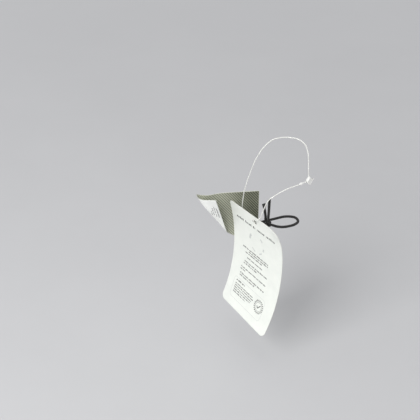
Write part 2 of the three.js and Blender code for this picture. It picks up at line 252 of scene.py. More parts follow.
def leaf_direction(angle):
    """Direction from the roll's apex: across the flat panel, round the cone, on across the flap."""
    flat = min(angle, ROLL_START)
    start = leaf_right * math.cos(flat) + UP * math.sin(flat)
    if angle <= ROLL_START:
        return start
    axis = start * math.cos(ROLL_HALF_ANGLE) + leaf_forward * math.sin(ROLL_HALF_ANGLE)
    rolled = min(angle - ROLL_START, ROLL_TURN * math.sin(ROLL_HALF_ANGLE))
    turned = Quaternion(axis, rolled / math.sin(ROLL_HALF_ANGLE)) @ start
    beyond = angle - ROLL_START - rolled
    tangent = axis.cross(turned).normalized()
    return turned * math.cos(beyond) + tangent * math.sin(beyond)


def leaf_wave(x, y):
    """How far the paper stands forward of the cone: a wave in the top edge, and a tip bent back."""
    wave_forward, wave_from_tip, wave_width, wave_height = 0.003, 0.0116, 0.009, 0.014
    tip_backward, tip_width = 0.0035, 0.007
    from_left = x - LEAF_TOP_LEFT.x
    below_top = LEAF_TOP_LEFT.y - y
    wave = ((from_left - wave_from_tip) / wave_width) ** 2 + (below_top / wave_height) ** 2
    tip = (from_left**2 + below_top**2) / tip_width**2
    return wave_forward * math.exp(-wave) - tip_backward * math.exp(-tip)


def leaf_point(x, y):
    """Where a flat point of the leaflet is. The roll's apex is (0, 0)."""
    reach = leaf_direction(math.atan2(y, x)) * math.hypot(x, y)
    return LEAF_APEX + reach + leaf_forward * leaf_wave(x, y)


def surface_normal(point_at, x, y):
    """The printed side's unit normal at a flat point."""
    small = 1e-5
    across = point_at(x + small, y) - point_at(x - small, y)
    upward = point_at(x, y + small) - point_at(x, y - small)
    return across.cross(upward).normalized()


# ---- flat outlines

def ray(angle):
    """The flat unit vector at an angle."""
    return Vector((math.cos(angle), math.sin(angle)))


def edges_round(loop):
    """Each member of a closed loop with the one after it."""
    return zip(loop, loop[1:] + loop[:1])


def rounded_outline(corners, radii, step):
    """A convex outline, anticlockwise, with an arc at each corner and points about step apart."""
    outline = []
    count = len(corners)
    for i, (corner, radius) in enumerate(zip(corners, radii)):
        before = (corners[i - 1] - corner).normalized()
        after = (corners[(i + 1) % count] - corner).normalized()
        half = before.angle(after) / 2
        centre = corner + (before + after).normalized() * radius / math.sin(half)
        first = corner + before * radius / math.tan(half) - centre
        sweep = math.pi - 2 * half
        arc_step = step / 2
        steps = max(2, math.ceil(radius * sweep / arc_step))
        for k in range(steps + 1):
            turn = Matrix.Rotation(sweep * k / steps, 2)
            outline.append(centre + turn @ first)
    filled = []
    for a, b in edges_round(outline):
        pieces = max(1, round((b - a).length / step))
        filled += [a.lerp(b, k / pieces) for k in range(pieces)]
    return filled


def inward(outline, distance):
    """The outline moved inwards by a distance."""
    moved = []
    for before, point, after in zip(outline[-1:] + outline, outline, outline[1:] + outline[:1]):
        along = (after - before).normalized()
        moved.append(point + Vector((-along.y, along.x)) * distance)
    return moved


def distance_inside(outline, point):
    """How far a point is inside a convex, anticlockwise outline."""
    best = math.inf
    for a, b in edges_round(outline):
        along = (b - a).normalized()
        away = point - a
        best = min(best, along.x * away.y - along.y * away.x)
    return best


# ---- mesh builders

def new_mesh(name, vertices, faces):
    """A mesh from its points and faces."""
    mesh = bpy.data.meshes.new(name)
    mesh.from_pydata(vertices, [], faces)
    return mesh


def new_piece(name, mesh, finishes, sharp_angle=math.radians(35)):
    """An object in the scene with smooth shading, creases kept, and its materials."""
    mesh.validate()
    mesh.shade_smooth()
    mesh.set_sharp_from_angle(angle=sharp_angle)
    for finish in finishes:
        mesh.materials.append(finish)
    piece = bpy.data.objects.new(name, mesh)
    bpy.context.scene.collection.objects.link(piece)
    return piece


def grid_points(outline, hole_centre, hole_radius, spacing, margin):
    """Evenly spaced points inside an outline, clear of its margin and of the hole."""
    low = Vector((min(p.x for p in outline), min(p.y for p in outline)))
    high = Vector((max(p.x for p in outline), max(p.y for p in outline)))
    columns = round((high.x - low.x) / spacing)
    rows = round((high.y - low.y) / spacing)
    points = []
    for row in range(rows):
        for column in range(columns):
            point = low + Vector(((column + 0.5) * spacing, (row + 0.5) * spacing))
            clear_of_hole = (point - hole_centre).length > hole_radius + spacing / 2
            if clear_of_hole and distance_inside(outline, point) > margin + spacing / 2:
                points.append(point)
    return points


def flat_triangles(outline, hole_centre, hole_radius, edge_round):
    """A flat sheet with a hole, as points and anticlockwise triangles.

    Slivers between points in line on a straight edge are left out: bent, they would stand off the sheet.
    """
    spacing = 0.0015
    margin = 0.0006
    hole_points = 32
    just_inside_hole = hole_radius * 0.98
    same_point = 1e-7
    sliver_area = 1e-9
    angles = [2 * math.pi * k / hole_points for k in range(hole_points)]
    ring = [hole_centre + ray(angle) * hole_radius for angle in angles]
    wide_ring = [hole_centre + (p - hole_centre) * (1 + edge_round / hole_radius) for p in ring]
    points = outline + ring + wide_ring + inward(outline, edge_round) + inward(outline, margin)
    points += grid_points(outline, hole_centre, hole_radius, spacing, margin)
    constraints, start = [], 0
    for loop in (outline, ring):
        constraints += [(start + k, start + (k + 1) % len(loop)) for k in range(len(loop))]
        start += len(loop)
    flat, _, triangles, *_ = delaunay_2d_cdt(points, constraints, [], 0, same_point)
    kept = []
    for triangle in triangles:
        a, b, c = (flat[k] for k in triangle)
        area = (b - a).cross(c - a) / 2
        clear_of_hole = ((a + b + c) / 3 - hole_centre).length > just_inside_hole
        if clear_of_hole and abs(area) > sliver_area:
            kept.append(triangle if area > 0 else triangle[::-1])
    return flat, kept


def rim_edges(triangles):
    """The edges that only one triangle has."""
    edges = dict.fromkeys(edge for triangle in triangles for edge in edges_round(triangle))
    return [(a, b) for a, b in edges if (b, a) not in edges]


def paper(name, outline, hole_centre, hole_radius, point_at, thickness, offset, finishes):
    """A bent sheet of paper with a punched hole: front, back and cut edge are its three materials.

    Its faces come in that order. Its UV map "flat" is the flat position in centimetres, and its
    attribute "from_edge" the distance from the cut edge in millimetres.
    """
    edge_round = 0.00012
    flat, kept = flat_triangles(outline, hole_centre, hole_radius, edge_round)
    rim = rim_edges(kept)
    rim_points = {k for edge in rim for k in edge}
    vertices, from_edge = [], []
    for side in (1, -1):
        for k, point in enumerate(flat):
            half = thickness / 2 - (edge_round / 2 if k in rim_points else 0)
            normal = surface_normal(point_at, point.x, point.y)
            vertices.append(point_at(point.x, point.y) + normal * (offset + side * half))
            from_hole = (point - hole_centre).length - hole_radius
            inside = min(distance_inside(outline, point), from_hole)
            from_edge.append(max(0.0, inside) / MILLIMETRE)
    back = len(flat)
    faces = [tuple(t) for t in kept]
    faces += [tuple(back + k for k in reversed(t)) for t in kept]
    faces += [(b, a, back + a, back + b) for a, b in rim]
    mesh = new_mesh(name, vertices, faces)
    mesh.attributes.new("from_edge", "FLOAT", "POINT").data.foreach_set("value", from_edge)
    flat_map = mesh.uv_layers.new(name="flat")
    for loop in mesh.loops:
        flat_map.data[loop.index].uv = flat[loop.vertex_index % back] / CENTIMETRE
    for face in mesh.polygons:
        face.material_index = min(face.index // len(kept), 2)
    return new_piece(name, mesh, finishes)


def ring_faces(rings, sides):
    """Faces of a closed round solid whose points are its rings in order, then its two poles."""
    faces = []
    for ring in range(rings - 1):
        for k in range(sides):
            a, b = ring * sides + k, ring * sides + (k + 1) % sides
            faces.append((a, b, b + sides, a + sides))
    start_pole, end_pole = rings * sides, rings * sides + 1
    final = (rings - 1) * sides
    for k in range(sides):
        after = (k + 1) % sides
        faces.append((start_pole, after, k))
        faces.append((end_pole, final + k, final + after))
    return faces


def stations_along(line):
    """The tube's rings along a line, untwisted: (centre, tangent, side, size, distance along)."""
    tangents = []
    for i in range(len(line)):
        tangents.append((line[min(i + 1, len(line) - 1)] - line[max(i - 1, 0)]).normalized())
    side = tangents[0].orthogonal().normalized()
    sides_along = [side]
    for before, after in zip(tangents, tangents[1:]):
        side = before.rotation_difference(after) @ side
        side = (side - after * side.dot(after)).normalized()
        sides_along.append(side)
    stations = []
    along = 0.0
    for i, (centre, tangent, side) in enumerate(zip(line, tangents, sides_along)):
        if i:
            along += (centre - line[i - 1]).length
        stations.append((centre, tangent, side, 1.0, along))
    return stations


def cap_stations(station, depth, direction):
    """The shrinking rings beyond one end of a tube, from the end outwards."""
    centre, tangent, side, _, along = station
    steps = 4
    cap = []
    for k in range(1, steps):
        angle = math.pi / 2 * k / steps
        out = direction * depth * math.sin(angle)
        cap.append((centre + tangent * out, tangent, side, math.cos(angle), along + out))
    return cap


def tube(name, line, radius, sides, finish, relief=None, end_depth=0.6):
    """A closed tube along a line. relief(turn, along) is how far the surface stands out, 0 to 1.

    Its attribute "relief" keeps that height. The ends are rounded, end_depth radii deep.
    """
    relief_depth = 0.16
    pole_height = 0.5
    depth = radius * end_depth
    stations = stations_along(line)
    ends = ((stations[0], -1), (stations[-1], 1))
    start_cap, end_cap = (cap_stations(station, depth, direction) for station, direction in ends)
    stations = start_cap[::-1] + stations + end_cap
    vertices, heights = [], []
    for centre, tangent, side, size, distance in stations:
        across = tangent.cross(side)
        for k in range(sides):
            turn = k / sides
            height = relief(turn, distance) if relief else 1.0
            stands = radius * size * (1 + relief_depth * (height - 1))
            angle = 2 * math.pi * turn
            vertices.append(centre + (side * math.cos(angle) + across * math.sin(angle)) * stands)
            heights.append(height)
    for (centre, tangent, *_), direction in ends:
        vertices.append(centre + tangent * direction * depth)
        heights.append(pole_height)
    mesh = new_mesh(name, vertices, ring_faces(len(stations), sides))
    mesh.attributes.new("relief", "FLOAT", "POINT").data.foreach_set("value", heights)
    return new_piece(name, mesh, [finish], sharp_angle=math.radians(80))


def turned(name, profile, placement, sides, finish):
    """A solid of revolution about its own x axis. The profile is (x, radius), ends on the axis."""
    start, *rings, end = profile
    vertices = []
    for x, radius in rings:
        for k in range(sides):
            angle = 2 * math.pi * k / sides
            vertices.append(placement @ Vector((x, radius * math.cos(angle), radius * math.sin(angle))))
    vertices += [placement @ Vector((x, 0, 0)) for x, _ in (start, end)]
    return new_piece(name, new_mesh(name, vertices, ring_faces(len(rings), sides)), [finish])


def print_strips(name, strips, point_at, surface_height, finish, side=1):
    """Ink on a bent sheet: each strip is (flat points, width), a thin closed block on the paper.

    The side is 1 for the front and -1 for the back.
    """
    ink_height = 0.00003
    sunk = 0.00002
    vertices, faces = [], []
    for points, width in strips:
        start = len(vertices)
        for i, point in enumerate(points):
            along = (points[min(i + 1, len(points) - 1)] - points[max(i - 1, 0)]).normalized()
            across = Vector((-along.y, along.x)) * width / 2
            for edge in (point - across, point + across):
                middle = point_at(edge.x, edge.y)
                normal = surface_normal(point_at, edge.x, edge.y) * side
                vertices.append(middle + normal * (surface_height - sunk))
                vertices.append(middle + normal * (surface_height + ink_height))
        for i in range(len(points) - 1):
            a = start + 4 * i
            b = a + 4
            faces += [(a + 1, b + 1, b + 3, a + 3), (a, a + 2, b + 2, b)]
            faces += [(a, b, b + 1, a + 1), (a + 2, a + 3, b + 3, b + 2)]
        final = start + 4 * (len(points) - 1)
        faces.append((start, start + 1, start + 3, start + 2))
        faces.append((final, final + 2, final + 3, final + 1))
    if side < 0:
        faces = [face[::-1] for face in faces]
    return new_piece(name, new_mesh(name, vertices, faces), [finish])


# ---- print shapes

def straight_strip(start, end, width):
    """One ruled line, with points close enough together to follow the bent paper."""
    step = 0.002
    count = max(1, math.ceil((end - start).length / step))
    return [start.lerp(end, k / count) for k in range(count + 1)], width


def arc_strip(centre, radius, start, sweep, width, pieces):
    """Part of a ring, angles in radians."""
    angles = [start + sweep * k / pieces for k in range(pieces + 1)]
    return [centre + ray(angle) * radius for angle in angles], width


def print_line(rng, start, along, length, height, tall_share=0.25, letter_gap=0.16, word_gap=0.7):
    """A line of small print with no letters in it: words made of plain upright bars.

    The gaps are shares of the height, and so are the bars' widths.
    """
    shortest_word, longest_word = 2, 8
    narrowest_bar, widest_bar = 0.3, 0.62
    low_bar = 0.72
    along = Vector(along).normalized()
    upward = Vector((-along.y, along.x))
    origin = Vector(start)
    strips = []
    reach = 0.0
    while reach < length:
        for _ in range(rng.randint(shortest_word, longest_word)):
            width = height * rng.uniform(narrowest_bar, widest_bar)
            tall = height * (1.0 if rng.random() < tall_share else low_bar)
            if reach + width > length:
                return strips
            foot = origin + along * (reach + width / 2)
            strips.append(([foot, foot + upward * tall], width))
            reach += width + height * letter_gap
        reach += height * word_gap
    return strips


# ---- materials

def add_node(material, kind, settings=None, **sockets):
    """A shader node with its settings and the values of its sockets."""
    made = material.node_tree.nodes.new("ShaderNode" + kind)
    for key, value in (settings or {}).items():
        setattr(made, key, value)
    for key, value in sockets.items():
        made.inputs[key.replace("_", " ")].default_value = value
    return made


def new_material(name, **sockets):
    """A node material and its Principled shader."""
    material = bpy.data.materials.new(name)
    material.use_nodes = True
    shader = material.node_tree.nodes["Principled BSDF"]
    for key, value in sockets.items():
        shader.inputs[key.replace("_", " ")].default_value = value
    return material, shader


def connect(material, source, target):
    """A link from an output socket to an input socket."""
    material.node_tree.links.new(source, target)


def flat_coordinates(material):
    """The flat position on the paper, in centimetres."""
    return add_node(material, "UVMap", {"uv_map": "flat"}).outputs["UV"]


def object_coordinates(material):
    """The position on the piece, in metres."""
    return add_node(material, "TexCoord").outputs["Object"]


def attribute(material, name):
    """A number stored at the mesh's points."""
    return add_node(material, "Attribute", {"attribute_name": name}).outputs["Fac"]


def noise(material, coordinates, scale, detail=4.0, roughness=0.6):
    """Cloudy noise, mostly inside NOISE_SPAN, its scale per unit of the coordinates."""
    made = add_node(material, "TexNoise", Scale=scale, Detail=detail, Roughness=roughness)
    connect(material, coordinates, made.inputs["Vector"])
    return made.outputs["Fac"]


def ramp(material, value, first, second, span=NOISE_SPAN):
    """A colour that goes from the first to the second as the value crosses a span."""
    made = add_node(material, "ValToRGB")
    for element, position, colour in zip(made.color_ramp.elements, span, (first, second)):
        element.position, element.color = position, (*colour, 1)
    connect(material, value, made.inputs["Fac"])
    return made.outputs["Color"]


def remapped(material, value, low, high, new_low, new_high):
    """A value stretched from one range onto another, and kept inside it."""
    made = add_node(
        material, "MapRange", From_Min=low, From_Max=high, To_Min=new_low, To_Max=new_high
    )
    connect(material, value, made.inputs["Value"])
    return made.outputs["Result"]


def mixed(material, share, first, second):
    """Two colours mixed by a share from 0 to 1. The second is a socket or a plain colour."""
    made = add_node(material, "Mix", {"data_type": "RGBA"})
    factor_input, first_colour, second_colour = made.inputs[0], made.inputs[6], made.inputs[7]
    colour_output = made.outputs[2]
    connect(material, share, factor_input)
    connect(material, first, first_colour)
    if isinstance(second, bpy.types.NodeSocket):
        connect(material, second, second_colour)
    else:
        second_colour.default_value = (*second, 1)
    return colour_output


def roughened(material, shader, value, smooth, rough):
    """Roughness that varies with a noise's value."""
    uneven = remapped(material, value, *NOISE_SPAN, smooth, rough)
    connect(material, uneven, shader.inputs["Roughness"])


def bumped(material, shader, height, strength, distance):
    """Relief from a height, distance in metres."""
    bump = add_node(material, "Bump", Strength=strength, Distance=distance)
    connect(material, height, bump.inputs["Height"])
    connect(material, bump.outputs["Normal"], shader.inputs["Normal"])


def card_stock():
    """Coated white card: faint mottling, a slightly uneven gloss, and worn, greyer edges."""
    material, shader = new_material("card_stock", Coat_Weight=0.25, Coat_Roughness=0.22)
    dull_white, white = (0.76, 0.785, 0.735), (0.82, 0.84, 0.785)
    speck_grey, edge_grey = (0.62, 0.64, 0.6), (0.6, 0.61, 0.56)
    flat = flat_coordinates(material)
    mottle = ramp(material, noise(material, flat, 0.9), dull_white, white)
    fibres = noise(material, flat, 42.0, detail=6.0)
    specks = remapped(material, fibres, 0.35, 0.7, 0.0, 0.1)
    speckled = mixed(material, specks, mottle, speck_grey)
    wear = remapped(material, attribute(material, "from_edge"), 0.0, 0.4, 0.25, 0.0)
    connect(material, mixed(material, wear, speckled, edge_grey), shader.inputs["Base Color"])
    roughened(material, shader, noise(material, flat, 2.2), 0.36, 0.52)
    bumped(material, shader, fibres, 0.25, 0.00003)
    return material


def plain_paper(name, light, dark):
    """Matt uncoated paper with visible fibres."""
    material, shader = new_material(name)
    flat = flat_coordinates(material)
    fibres = noise(material, flat, 30.0, detail=6.0, roughness=0.7)
    clouds = ramp(material, noise(material, flat, 1.3), dark, light)
    specks = remapped(material, fibres, 0.4, 0.7, 0.0, 0.14)
    connect(material, mixed(material, specks, clouds, dark), shader.inputs["Base Color"])
    roughened(material, shader, fibres, 0.7, 0.88)
    bumped(material, shader, fibres, 0.35, 0.00004)
    return material


def paper_edge(name, dark, light):
    """The cut edge of card or paper, with a rough, layered look."""
    material, shader = new_material(name)
    grain = noise(material, object_coordinates(material), 3500.0, detail=3.0)
    connect(material, ramp(material, grain, dark, light), shader.inputs["Base Color"])
    roughened(material, shader, grain, 0.75, 0.92)
    return material


def stripes(material, flat, angle, per_centimetre):
    """Soft parallel bands across the flat paper, at an angle in degrees."""
    bands_at_scale_one = 3.18
    turned_flat = add_node(material, "Mapping", Rotation=(0, 0, math.radians(-angle)))
    connect(material, flat, turned_flat.inputs["Vector"])
    bands = add_node(
        material, "TexWave", {"bands_direction": "Y"},
        Scale=per_centimetre / bands_at_scale_one, Distortion=0.35, Detail=1.0, Detail_Scale=2.0,
    )
    connect(material, turned_flat.outputs["Vector"], bands.inputs["Vector"])
    return bands.outputs["Fac"]


def olive_weave():
    """Olive print with an embossed diagonal weave and a thin pale margin along the cut edge.

    Light and shade are painted into its colour: the weave is painted darkest on the right as painted
    shade, and paler towards the rolled corner as painted light.
    """
    material, shader = new_material("olive_weave", Sheen_Weight=0.15, Sheen_Roughness=0.5)
    # Painted shade and painted light: the first three colours are the shaded weave, the next three the
    # lit weave.
    shaded_groove, shaded_rib, shaded_pick = (0.02, 0.023, 0.012), (0.25, 0.26, 0.185), (0.1, 0.11, 0.07)
    lit_groove, lit_rib, lit_pick = (0.225, 0.237, 0.177), (0.54, 0.555, 0.44), (0.26, 0.27, 0.205)
    fleck_colour, margin_colour = (0.4, 0.41, 0.33), (0.38, 0.39, 0.3)
    flat = flat_coordinates(material)
    ribs = stripes(material, flat, -50, 5.6)
    picks = stripes(material, flat, 40, 7.0)
    crossing = remapped(material, picks, 0.5, 1.0, 0.0, 0.45)
    shaded_weave = mixed(material, crossing, ramp(material, ribs, shaded_groove, shaded_rib), shaded_pick)
    lit_weave = mixed(material, crossing, ramp(material, ribs, lit_groove, lit_rib), lit_pick)
    # Painted light and shade: the lit weave towards the left and the bottom, the shaded weave towards
    # the upper right.
    painted_light_direction = (1, 0.35, 0)
    across = add_node(material, "VectorMath", {"operation": "DOT_PRODUCT"})
    across.inputs[1].default_value = painted_light_direction
    connect(material, flat, across.inputs[0])
    fade_and_painted_light = remapped(material, across.outputs["Value"], 0.0, 2.5, 1.0, 0.0)
    weave = mixed(material, fade_and_painted_light, shaded_weave, lit_weave)
    dust = noise(material, flat, 55.0, detail=5.0, roughness=0.7)
    flecks = remapped(material, dust, 0.52, 0.75, 0.0, 0.35)
    flecked = mixed(material, flecks, weave, fleck_colour)
    margin = remapped(material, attribute(material, "from_edge"), 0.3, 0.45, 1.0, 0.0)
    connect(material, mixed(material, margin, flecked, margin_colour), shader.inputs["Base Color"])
    connect(material, remapped(material, picks, 0.0, 1.0, 0.55, 0.72), shader.inputs["Roughness"])
    bumped(material, shader, ribs, 0.4, 0.0001)
    return material


def print_ink(name, colour, fade_and_painted_light):
    """Printed ink that takes unevenly on the paper."""
    material, shader = new_material(name)
    patchy = noise(material, object_coordinates(material), 900.0, detail=3.0)
    inked = ramp(material, patchy, colour, fade_and_painted_light, span=(0.35, 0.75))
    connect(material, inked, shader.inputs["Base Color"])
    roughened(material, shader, patchy, 0.45, 0.62)
    return material


def clear_nylon(name, clearness, tint, haze):
    """Translucent moulded nylon, slightly milky, with flow marks."""
    material, shader = new_material(name, Transmission_Weight=clearness, IOR=1.5)
    place = object_coordinates(material)
    flow = noise(material, place, 420.0, detail=3.0)
    connect(material, ramp(material, flow, tint, haze), shader.inputs["Base Color"])
    roughened(material, shader, flow, 0.16, 0.3)
    bumped(material, shader, noise(material, place, 700.0), 0.05, 0.00002)
    return material


def black_elastic():
    """Braided black elastic with random dust, and painted shade between the yarns: darker where the
    relief is low.
    """
    material, shader = new_material("black_elastic_braid", Sheen_Weight=0.1, Sheen_Roughness=0.45)
    gap_shade_black, yarn_black, dust_grey = (0.003, 0.003, 0.003), (0.016, 0.015, 0.014), (0.06, 0.056, 0.052)
    height = attribute(material, "relief")
    # Painted shade: the colour darkens into the gaps between the yarns, where the relief is low.
    yarn_and_gap_shade = ramp(material, height, gap_shade_black, yarn_black, span=(0.1, 0.9))
    lint = noise(material, object_coordinates(material), 2600.0, detail=5.0, roughness=0.75)
    dust = remapped(material, lint, 0.52, 0.72, 0.0, 0.3)
    connect(material, mixed(material, dust, yarn_and_gap_shade, dust_grey), shader.inputs["Base Color"])
    roughened(material, shader, lint, 0.7, 0.92)
    bumped(material, shader, lint, 0.4, 0.00006)
    return material


def pale_floor():
    """Studio floor: pale, matt, very slightly uneven, and lost in the studio's light far away."""
    material, shader = new_material("pale_floor", Roughness=0.85, Emission_Color=(*STUDIO_COLOUR, 1))
    grey, light_grey, black = (0.54, 0.542, 0.548), (0.56, 0.562, 0.568), (0, 0, 0)
    fade_from, fade_to = 0.3, 2.0
    place = object_coordinates(material)
    colour = ramp(material, noise(material, place, 6.0), grey, light_grey)
    distance = add_node(material, "VectorMath", {"operation": "LENGTH"})
    connect(material, place, distance.inputs[0])
    far = remapped(material, distance.outputs["Value"], fade_from, fade_to, 0.0, 1.0)
    connect(material, mixed(material, far, colour, black), shader.inputs["Base Color"])
    glow = remapped(material, far, 0.0, 1.0, 0.0, STUDIO_STRENGTH)
    connect(material, glow, shader.inputs["Emission Strength"])
    return material


# ---- camera

def place_camera():
    """The camera looks at the set from the front and above."""
    target = Vector((-0.0607, 0.0058, 0.0089))
    distance = 0.9
    elevation = math.radians(33)
    view_width = 0.3696
    camera = bpy.data.objects.new("camera", bpy.data.cameras.new("camera"))
    back = Vector((0, -math.cos(elevation), math.sin(elevation)))
    camera.location = target + back * distance
    camera.rotation_euler = (math.pi / 2 - elevation, 0, 0)
    camera.data.sensor_width = 36
    camera.data.lens = camera.data.sensor_width * distance / view_width
    bpy.context.scene.collection.objects.link(camera)
    bpy.context.scene.camera = camera


# ---- clear loop fastener

def lock_placement():
    """The lock's own frame: x along the plug, z towards the front."""
    front = LOCK_AXIS.cross(UP).normalized()
    upward = front.cross(LOCK_AXIS)
    basis = Matrix((LOCK_AXIS, upward, front)).transposed().to_4x4()
    return Matrix.Translation(LOCK_CENTRE) @ basis


def make_lock_housing(finish):
    """Diamond-shaped moulding: rounded edges, a shallow panel on both faces, a bore for the plug."""
    half_length, half_height, thickness = 0.0031, 0.0036, 0.0028
    corner = 0.0008
    bore_radius, bore_reach = 0.00095, 0.005
    edge_round = 0.00035
    panel_border, panel_slope, panel_depth = 0.0002, 0.0002, 0.00015
    least_panel_area = half_length * half_height
    crease_angle = math.radians(28)
    outline = [
        (half_length, -corner / 2),
        (half_length, corner / 2),
        (corner / 2, half_height),
        (-corner / 2, half_height),
        (-half_length, corner / 2),
        (-half_length, -corner / 2),
        (-corner / 2, -half_height),
        (corner / 2, -half_height),
    ]
    shape = bmesh.new()
    face = shape.faces.new([shape.verts.new((x, y, -thickness / 2)) for x, y in outline])
    pushed = bmesh.ops.extrude_face_region(shape, geom=[face])
    top = [v for v in pushed["geom"] if isinstance(v, bmesh.types.BMVert)]
    bmesh.ops.translate(shape, verts=top, vec=(0, 0, thickness))
    bmesh.ops.recalc_face_normals(shape, faces=shape.faces)
    bmesh.ops.bevel(
        shape, geom=list(shape.edges), offset=edge_round, segments=4, affect="EDGES", profile=0.5
    )
    facing_z = [f for f in shape.faces if abs(f.normal.z) > 0.99]
    panels = [f for f in facing_z if f.calc_area() > least_panel_area]
    bmesh.ops.inset_individual(shape, faces=panels, thickness=panel_border, depth=0)
    bmesh.ops.inset_individual(shape, faces=panels, thickness=panel_slope, depth=-panel_depth)
    mesh = bpy.data.meshes.new("lock_body")
    shape.to_mesh(mesh)
    shape.free()
    mesh.transform(lock_placement())
    housing = new_piece("lock_body", mesh, [finish])
    bore_profile = [
        (-bore_reach, 0), (-bore_reach, bore_radius), (bore_reach, bore_radius), (bore_reach, 0),
    ]
    bore = turned("bore_cutter", bore_profile, lock_placement(), sides=40, finish=finish)
    cut = housing.modifiers.new("bore", "BOOLEAN")
    cut.operation, cut.solver, cut.object = "DIFFERENCE", "EXACT", bore
    evaluated = housing.evaluated_get(bpy.context.evaluated_depsgraph_get())
    housing.data = bpy.data.meshes.new_from_object(evaluated)
    housing.data.set_sharp_from_angle(angle=crease_angle)
    housing.modifiers.clear()
    bpy.data.objects.remove(bore)
    return housing


def make_lock_plug(finish):
    """Collar, stem and barbed tip, running on from the filament's end."""
    profile = [
        (-0.0109, 0), (-0.0109, 0.00042), (-0.0100, 0.0005), (-0.0096, 0.00062),
        (-0.0091, 0.00085), (-0.0087, 0.00104), (-0.0083, 0.0011), (-0.0079, 0.00108),
        (-0.0075, 0.00098), (-0.0069, 0.0008), (-0.0062, 0.00066), (-0.0056, 0.0006),
        (0.0031, 0.0006), (0.0035, 0.00062), (0.00355, 0.00104), (0.0037, 0.0011),
        (0.0040, 0.00102), (0.0046, 0.0007), (0.0050, 0.00042), (0.0052, 0.00022), (0.00525, 0),
    ]
    return turned("lock_plug_pin", profile, lock_placement(), sides=32, finish=finish)


def make_lock_root(finish):
    """The moulded taper that joins the filament to the top of the lock."""
    start = LOCK_CENTRE + Vector((-0.0001, 0, 0.0031))
    end = Vector(FILAMENT_ROUTE[0]) + Vector((0, 0.0001, 0.0012))
    along = (end - start).normalized()
    side = along.orthogonal().normalized()
    basis = Matrix((along, side, along.cross(side))).transposed().to_4x4()
    placement = Matrix.Translation(start) @ basis
    reach = (end - start).length
    profile = [
        (0, 0), (0, 0.00085), (reach * 0.2, 0.0008), (reach * 0.4, 0.0007),
        (reach * 0.7, 0.00055), (reach * 0.95, 0.00047), (reach, 0.00044), (reach, 0),
    ]
    return turned("lock_root", profile, placement, sides=24, finish=finish)


def make_loop():
    """The fastener: filament, lock body, the taper on it, and the plug."""
    filament_finish = clear_nylon(
        "nylon_filament", clearness=0.35, tint=(0.92, 0.92, 0.87), haze=(0.97, 0.97, 0.93)
    )
    moulded_finish = clear_nylon(
        "nylon_moulding", clearness=0.15, tint=(0.88, 0.88, 0.84), haze=(0.94, 0.94, 0.91)
    )
    ring_step = 0.0006
    sides = 16
    line = smooth_line(FILAMENT_ROUTE, ring_step)
    filament = tube("loop_line", line, FILAMENT_DIAMETER / 2, sides, filament_finish)
    housing = make_lock_housing(moulded_finish)
    plug = make_lock_plug(moulded_finish)
    root = make_lock_root(moulded_finish)
    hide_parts("loop_filament")
    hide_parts("lock_housing")
    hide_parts("lock_plug")
    for piece in (filament, housing, plug, root):
        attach(piece, "hangers")


# ---- elastic tie

def braid(turn, along):
    """Height of plaited yarns round a cord, 0 in the gaps and 1 on top."""
    yarns = 6
    pitch = 0.00115
    crown_flatness = 0.6
    swell_share = 0.45
    first = yarns * turn + along / pitch
    second = yarns * turn - along / pitch
    over = (math.floor(first) + math.floor(second)) % 2 == 0
    top, under = (first, second) if over else (second, first)
    crown = math.sin(math.pi * (top % 1))
    swell = math.sin(math.pi * (under % 1))
    return crown**crown_flatness * (1 - swell_share + swell_share * swell)


def knot_line(centre, size, tilt_axis, tilt_angle, step):
    """A closed-looking overhand knot: a trefoil squeezed into a lump."""
    points = []
    count = 90
    share_of_turn = 0.985
    depth = 1.9
    turn = Quaternion(Vector(tilt_axis), tilt_angle)
    for k in range(count + 1):
        t = 2 * math.pi * k / count * share_of_turn
        point = Vector((
            math.sin(t) + 2 * math.sin(2 * t),
            math.cos(t) - 2 * math.cos(2 * t),
            -depth * math.sin(3 * t),
        ))
        points.append(centre + turn @ (point * size))
    return resampled(points, step)


def make_tie():
    """The elastic: its loop, the knot that closes it, and two tails, one with an end knot."""
    finish = black_elastic()
    ring_step = 0.0002
    sides = 36
    line = smooth_line(TIE_ROUTE, ring_step)
    loop = tube("tie_loop", line, TIE_DIAMETER / 2, sides, finish, braid, end_depth=1.5)
    knot_size, knot_cord_radius = 0.00068, 0.00115
    bead_size, bead_cord_radius = 0.00036, 0.00095
    knot_core = knot_line(KNOT_CENTRE, knot_size, (0.4, 0.9, 0.2), 1.2, ring_step)
    knot = tube("tie_overhand_knot", knot_core, knot_cord_radius, sides, finish, braid)
    # Each tail starts inside the knot.
    long_line = smooth_line([(-0.0101, -0.0094, 0.0052), *LONG_TAIL_ROUTE], ring_step)
    short_line = smooth_line([(-0.0108, -0.0086, 0.0050), *SHORT_TAIL_ROUTE], ring_step)
    long_tail = tube("tie_long_end", long_line, TIE_DIAMETER / 2, sides, finish, braid)
    short_tail = tube("tie_short_end", short_line, TIE_DIAMETER / 2, sides, finish, braid)
    bead_core = knot_line(BEAD_CENTRE, bead_size, (1.0, 0.2, 0.1), 0.35, ring_step / 2)
    bead = tube("tie_end_knot", bead_core, bead_cord_radius, sides, finish, braid)
    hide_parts("tie_cord")
    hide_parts("tie_knot")
    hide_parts("tie_tail_long")
    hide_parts("tie_tail_short")
    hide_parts("tie_end_bead")
    for piece in (loop, knot, long_tail, short_tail, bead):
        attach(piece, "hangers")


# ---- printed card

